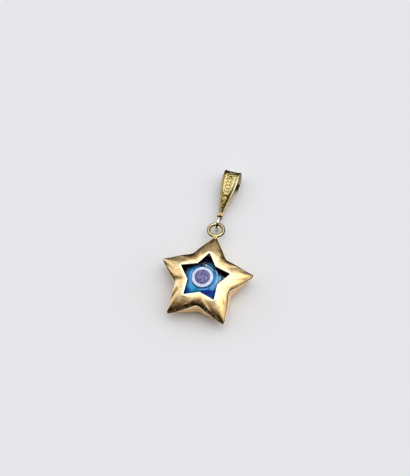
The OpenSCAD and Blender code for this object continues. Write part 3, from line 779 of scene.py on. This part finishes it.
def glassMaterial():
    # Blue glass: painted shadow, black, towards the top of the window, painted light, clear blue, at lower left, navy
    # at lower right, with drawn pale threads and painted reflections to the right of the eye and below it, a painted
    # shadow line round the lower side of the eye and a few painted glints over it
    material, nodes, links, shader = newMaterial("blueGlass")
    where, x, y, r = eyeAxes(nodes, links)
    g = glassLook
    cloud = noise(nodes, links, where, 0.8, 3)
    colour = mixColour(nodes, links, remap(nodes, links, cloud, 0.42, 0.6), g["blue"], g["sea"])
    fleck = noise(nodes, links, where, 0.35, 3, 0.6)
    # painted light: a pool of light blue at lower left, where light through the glass gathers
    light = spot(nodes, links, x, y, (-1.45, -1.75), (1.0, 1.1), 0.95)
    light = combine(nodes, links, "MULTIPLY", light, remap(nodes, links, fleck, 0.35, 0.6, 0.35, 1))
    colour = mixColour(nodes, links, light, colour, g["light"])
    colour = mixColour(nodes, links, spot(nodes, links, x, y, (-2.2, -2.9), (1.1, 1.1), 0.8), colour, g["rich"])
    colour = mixColour(nodes, links, arc(nodes, links, x, y, r, 2.05, 0.22, 185, 40), colour, g["strip"])
    # lower right, under a chord
    chord = combine(nodes, links, "SUBTRACT", combine(nodes, links, "MULTIPLY", x, 0.25), y)
    under = remap(nodes, links, chord, 2.25, 2.38, 0, 1, True)
    right = remap(nodes, links, x, 0.0, 0.3, 0, 1, True)
    navy = combine(nodes, links, "MULTIPLY", under, right)
    dusk = mixColour(nodes, links, remap(nodes, links, r, 2.8, 3.3), g["navy"], g["rich"])
    colour = mixColour(nodes, links, navy, colour, dusk)
    # painted reflection: a broad light-blue band to the lower right of the eye
    colour = mixColour(nodes, links, arc(nodes, links, x, y, r, 2.45, 0.45, -16, 34), colour, g["strip"])
    # teal to the right, then painted shadow, dark then black, along the upper side, past a circle about a lower centre
    colour = mixColour(nodes, links, spot(nodes, links, x, y, (3.1, 0.9), (0.5, 1.0)), colour, g["teal"])
    low = combine(nodes, links, "ADD", y, 1.6)
    far = combine(nodes, links, "SQRT", sumOfSquares(nodes, links, x, low), 0)
    for uneven in (cloud, fleck):
        far = combine(nodes, links, "ADD", far, combine(nodes, links, "MULTIPLY", uneven, 0.9))
    colour = mixColour(nodes, links, remap(nodes, links, far, 4.1, 4.45, 0, 0.9, True), colour, g["deep"])
    colour = mixColour(nodes, links, remap(nodes, links, far, 4.4, 4.75, 0, 1, True), colour, g["black"])
    mottle = noise(nodes, links, where, 0.3, 2)
    mottled = combine(nodes, links, "MULTIPLY", remap(nodes, links, mottle, 0.54, 0.68, 0, 0.7),
                      remap(nodes, links, far, 4.2, 4.5))
    colour = mixColour(nodes, links, mottled, colour, g["violet"])
    for place, size in g["clouds"]:
        clouded = combine(nodes, links, "MULTIPLY", spot(nodes, links, x, y, place, size, 0.9),
                          remap(nodes, links, fleck, 0.38, 0.58, 0.2, 0.95))
        colour = mixColour(nodes, links, clouded, colour, g["teal"])
    # painted shadow: a dark line round the lower side of the white ring
    colour = mixColour(nodes, links, arc(nodes, links, x, y, r, 1.88, 0.14, -80, 75), colour, g["line"])
    # drawn threads; the pale ones to the right of the eye are painted reflections
    for radius, width, angle, spread, tone in g["streaksAndReflections"]:
        colour = mixColour(nodes, links, arc(nodes, links, x, y, r, radius, width, angle, spread), colour, g[tone])
    # painted highlights: small white glints on the glass
    for place, size in g["paintedGlints"]:
        colour = mixColour(nodes, links, spot(nodes, links, x, y, place, size), colour, g["white"])
    shaded = combine(nodes, links, "MULTIPLY", markOf(nodes, "shade"), remap(nodes, links, y, -1.5, 0.3, 0.35, 0.85))
    colour = mixColour(nodes, links, shaded, colour, g["black"])
    links.new(colour, shader.inputs["Base Color"])
    shader.inputs["Roughness"].default_value = 0.05
    shader.inputs["IOR"].default_value = 1.5
    shader.inputs["Specular IOR Level"].default_value = 0.2
    return material


def enamelMaterial(name, look):
    # Milky glass: soft blotches, and a tint that gathers between two radii
    material, nodes, links, shader = newMaterial(name)
    where, x, y, r = eyeAxes(nodes, links)
    cloud = noise(nodes, links, where, look["size"], 4, 0.6)
    colour = mixColour(nodes, links, remap(nodes, links, cloud, 0.42, 0.6), look["base"], look["blotch"])
    near = remap(nodes, links, r, look["edge"][0], look["edge"][1], 0, 1, True)
    colour = mixColour(nodes, links, near, colour, look["edgeColour"])
    links.new(colour, shader.inputs["Base Color"])
    shader.inputs["Roughness"].default_value = 0.15
    shader.inputs["Specular IOR Level"].default_value = 0.25
    bump = nodes.new("ShaderNodeBump")
    bump.inputs["Strength"].default_value = 0.3
    bump.inputs["Distance"].default_value = 0.00002
    links.new(cloud, bump.inputs["Height"])
    links.new(bump.outputs[0], shader.inputs["Normal"])
    return material


blueGlass = glassMaterial()
whiteGlass = enamelMaterial("whiteGlass", {
    "base": (0.62, 0.68, 0.98, 1), "blotch": (0.80, 0.86, 1.0, 1), "size": 0.5,
    "edgeColour": (0.50, 0.70, 1.0, 1), "edge": (1.66, 1.78)})
pupilGlass = enamelMaterial("pupilGlass", {
    "base": (0.075, 0.07, 0.21, 1), "blotch": (0.26, 0.24, 0.48, 1), "size": 0.32,
    "edgeColour": (0.15, 0.13, 0.30, 1), "edge": (1.05, 1.22)})

settle(starCase, "star_case", caseGold)
settle(glassBead, "eye_glass", blueGlass)
settle(whiteDisc, "eye_white", whiteGlass)
settle(pupilDisc, "eye_pupil", pupilGlass)
settle(linkPiece, "link", linkGold)
settle(bailPiece, "bail", bailGold)
print("materials done")


# Table, light and camera

table = {"size": 6, "colour": (0.80, 0.815, 0.85, 1), "rough": 0.7, "drop": 0.00001}
mesh = bpy.data.meshes.new("table")
half, down = table["size"] / 2, -table["drop"]
corners = [(-half, -half, down), (half, -half, down), (half, half, down), (-half, half, down)]
mesh.from_pydata(corners, [], [(0, 1, 2, 3)])
tableTop = bpy.data.objects.new("table", mesh)
scene.collection.objects.link(tableTop)
paleBoard, _, _, boardShader = newMaterial("paleBoard")
boardShader.inputs["Base Color"].default_value = table["colour"]
boardShader.inputs["Roughness"].default_value = table["rough"]
mesh.materials.append(paleBoard)

studio = {
    "low": 0.03, "back": 0.32, "top": 0.3,  # light from the front, and what the back and the top add to it
    # soft panels: compass angle from +X, height, half widths in degrees sideways and up, strength
    "panels": ((14, 30, 84, 84, 1.0), (65, 72, 80, 88, 0.65), (176, 24, 60, 88, 0.75), (60, 72, 43, 27, 1.3)),
    "dimColour": (1.0, 0.66, 0.36, 1), "dimBelow": 0.6,
}


def studioLight():
    # Each panel is a smooth spot on the sky: 1 at its middle, 0 where the scaled distance from it reaches 1
    world = bpy.data.worlds.new("studio")
    scene.world = world
    world.use_nodes = True
    nodes, links = world.node_tree.nodes, world.node_tree.links
    way = nodes.new("ShaderNodeTexCoord").outputs["Generated"]
    split = nodes.new("ShaderNodeSeparateXYZ")
    links.new(way, split.inputs[0])
    glow = remap(nodes, links, split.outputs[1], -0.5, 0.5, studio["low"], studio["low"] + studio["back"], True)
    glow = combine(nodes, links, "ADD", glow, remap(nodes, links, split.outputs[2], 0.1, 0.95, 0, studio["top"], True))
    for angle, height, sideways, upwards, strength in studio["panels"]:
        a, b = np.radians(angle), np.radians(height)
        out = Vector((np.cos(a) * np.cos(b), np.sin(a) * np.cos(b), np.sin(b)))
        side = Vector((-np.sin(a), np.cos(a), 0))
        turn = Matrix((side, out.cross(side), out)).transposed()
        place = nodes.new("ShaderNodeMapping")
        place.vector_type = "TEXTURE"
        place.inputs["Location"].default_value = out
        place.inputs["Rotation"].default_value = turn.to_euler()
        place.inputs["Scale"].default_value = (np.sin(np.radians(sideways)), np.sin(np.radians(upwards)), 1)
        links.new(way, place.inputs["Vector"])
        length = nodes.new("ShaderNodeVectorMath")
        length.operation = "LENGTH"
        links.new(place.outputs[0], length.inputs[0])
        lamp = remap(nodes, links, length.outputs["Value"], 1, 0.15, 0, strength, True)
        glow = combine(nodes, links, "ADD", glow, lamp)
    links.new(glow, nodes["Background"].inputs["Strength"])
    white = remap(nodes, links, glow, 0, studio["dimBelow"], 0, 1, True)
    links.new(mixColour(nodes, links, white, studio["dimColour"], (1, 1, 1, 1)), nodes["Background"].inputs["Color"])


studioLight()

# angles in degrees, distance in metres, and the star's centre in a frame of this many pixels
view = {
    "height": 68, "turn": 26.5, "roll": -14.1, "distance": 0.185, "pixelsPerMm": 6.12,
    "at": (204.6, 281.6), "frame": (410, 476), "sensor": 36, "clip": (0.01, 20),
}


def lookAtStar():
    # The camera stands at a height and turn above the star's centre, rolled about its line of sight
    height, turn, roll = [np.radians(view[k]) for k in ("height", "turn", "roll")]
    back = Vector((np.sin(turn) * np.cos(height), -np.cos(turn) * np.cos(height), np.sin(height)))
    right = Vector((np.cos(turn), np.sin(turn), 0))
    up = back.cross(right)
    right, up = right * np.cos(roll) + up * np.sin(roll), up * np.cos(roll) - right * np.sin(roll)
    camera = bpy.data.objects.new("camera", bpy.data.cameras.new("camera"))
    scene.collection.objects.link(camera)
    axes = Matrix((right, up, back)).transposed()
    target = Vector(middle / 1000)
    camera.matrix_world = Matrix.Translation(target + back * view["distance"]) @ axes.to_4x4()
    wide, high = view["frame"]
    camera.data.sensor_width = view["sensor"]
    camera.data.lens = view["sensor"] * view["distance"] * 1000 * view["pixelsPerMm"] / high
    camera.data.shift_x = (wide / 2 - view["at"][0]) / high
    camera.data.shift_y = (view["at"][1] - high / 2) / high
    camera.data.clip_start, camera.data.clip_end = view["clip"]
    scene.camera = camera


lookAtStar()
scene.view_settings.view_transform = "Standard"
print("stage done")
